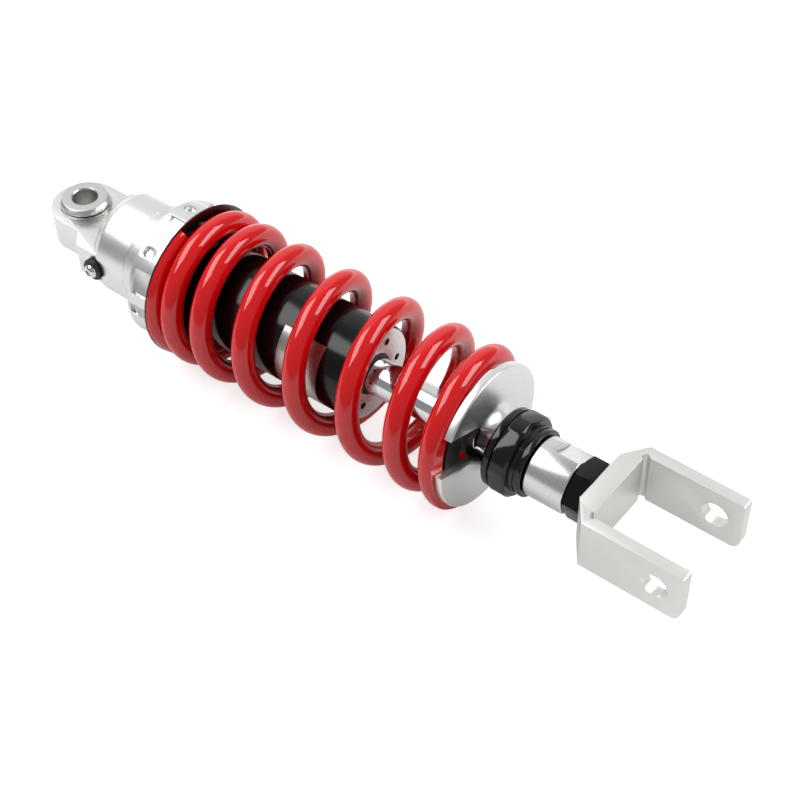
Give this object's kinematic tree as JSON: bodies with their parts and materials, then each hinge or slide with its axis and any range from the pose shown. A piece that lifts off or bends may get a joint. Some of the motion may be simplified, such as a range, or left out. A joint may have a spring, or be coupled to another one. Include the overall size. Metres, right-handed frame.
{
  "type": "motorcycle rear shock absorber",
  "caption": "Coil-over rear shock absorber: gas damper in a red coil spring, with an eye at one end, a clevis at the other, a preload collar and a rebound knob.",
  "frame": {"origin": "centre of the upper eye's bolt hole", "axes": "+Z along the upper eye's bolt, +X from the eye to the clevis along the shock, +Y along the clevis pin"},
  "size_m": [0.3042, 0.062, 0.0621],
  "materials": {
    "satin_aluminium": "satin, clear anodised",
    "blasted_aluminium": "fine bead-blasted, clear anodised",
    "polished_aluminium": "turned and polished",
    "bush_steel": "turned",
    "plain_steel": "ground",
    "black_steel": "black oxide",
    "hard_chrome": "hard chromed and polished",
    "gloss_black_paint": "gloss",
    "red_powder_coat": "gloss powder coat",
    "black_anodised": "black anodised",
    "bronze": "sintered",
    "black_rubber": "moulded",
    "black_nylon": "moulded"
  },
  "bodies": {
    "eye_mount": {"eye_spacers": "satin_aluminium"},
    "damper_body": {"top_mount": "satin_aluminium", "eye_bushes": "bush_steel", "gas_screw": "hard_chrome", "gas_screw_seal": "black_rubber", "head_oring": "black_rubber", "damper_tube": "gloss_black_paint", "seal_head": "polished_aluminium", "seal_head_oring": "black_rubber", "rod_bush": "bronze", "rod_seal": "black_rubber", "wiper_seal": "black_rubber"},
    "floating_piston": {"floating_piston": "polished_aluminium", "floating_piston_seal": "black_rubber"},
    "spring_perch": {"spring_washer": "black_nylon", "spring": "red_powder_coat"},
    "preload_collar": {"preload_collar": "satin_aluminium"},
    "seat_carrier": {"lower_spring_seat": "satin_aluminium", "bump_stop": "black_rubber"},
    "rod_assembly": {"piston_rod": "hard_chrome", "piston": "polished_aluminium", "piston_band": "black_nylon", "compression_shims": "plain_steel", "rebound_shims": "plain_steel", "piston_nut": "plain_steel", "top_out_bumper": "black_rubber", "rod_end": "satin_aluminium", "lock_nut": "black_steel", "clevis": "blasted_aluminium"},
    "rebound_knob": {"rebound_knob": "black_anodised"},
    "rebound_needle": {"rebound_needle": "plain_steel", "cross_pin": "plain_steel"}
  },
  "joints": [
    {"name": "eye_pivot", "type": "hinge", "parent": "eye_mount", "child": "damper_body", "pos_m": [0, 0, 0], "axis": [0, 0, 1], "continuous": true},
    {"name": "preload_slide", "type": "slide", "parent": "damper_body", "child": "spring_perch", "axis": [1, 0, 0], "range_m": [0, 0.006], "deforming": ["spring"]},
    {"name": "preload_turn", "type": "hinge", "parent": "spring_perch", "child": "preload_collar", "pos_m": [0.05, 0, 0], "axis": [1, 0, 0], "range_deg": [0, 1440], "deforming": ["spring"]},
    {"name": "damper_stroke", "type": "slide", "parent": "damper_body", "child": "seat_carrier", "axis": [-1, 0, 0], "range_m": [0, 0.035], "stiffness_N_per_m": 85000, "deforming": ["spring"]},
    {"name": "rod_swivel", "type": "hinge", "parent": "seat_carrier", "child": "rod_assembly", "pos_m": [0.1955, 0, 0], "axis": [1, 0, 0], "continuous": true},
    {"name": "rebound_turn", "type": "hinge", "parent": "rod_assembly", "child": "rebound_knob", "pos_m": [0.2125, 0, 0], "axis": [1, 0, 0], "range_deg": [-180, 180]},
    {"name": "needle_slide", "type": "slide", "parent": "rod_assembly", "child": "rebound_needle", "axis": [1, 0, 0], "range_m": [-0.0015, 0.0015]},
    {"name": "gas_piston_slide", "type": "slide", "parent": "damper_body", "child": "floating_piston", "axis": [-1, 0, 0], "range_m": [0, 0.0065]}
  ],
  "couplings": [
    {"joint": "preload_turn", "follows": "preload_slide", "rad_per_m": 4188.8},
    {"joint": "rebound_turn", "follows": "needle_slide", "rad_per_m": 2094.4},
    {"joint": "gas_piston_slide", "follows": "damper_stroke", "ratio": 0.16955}
  ]
}
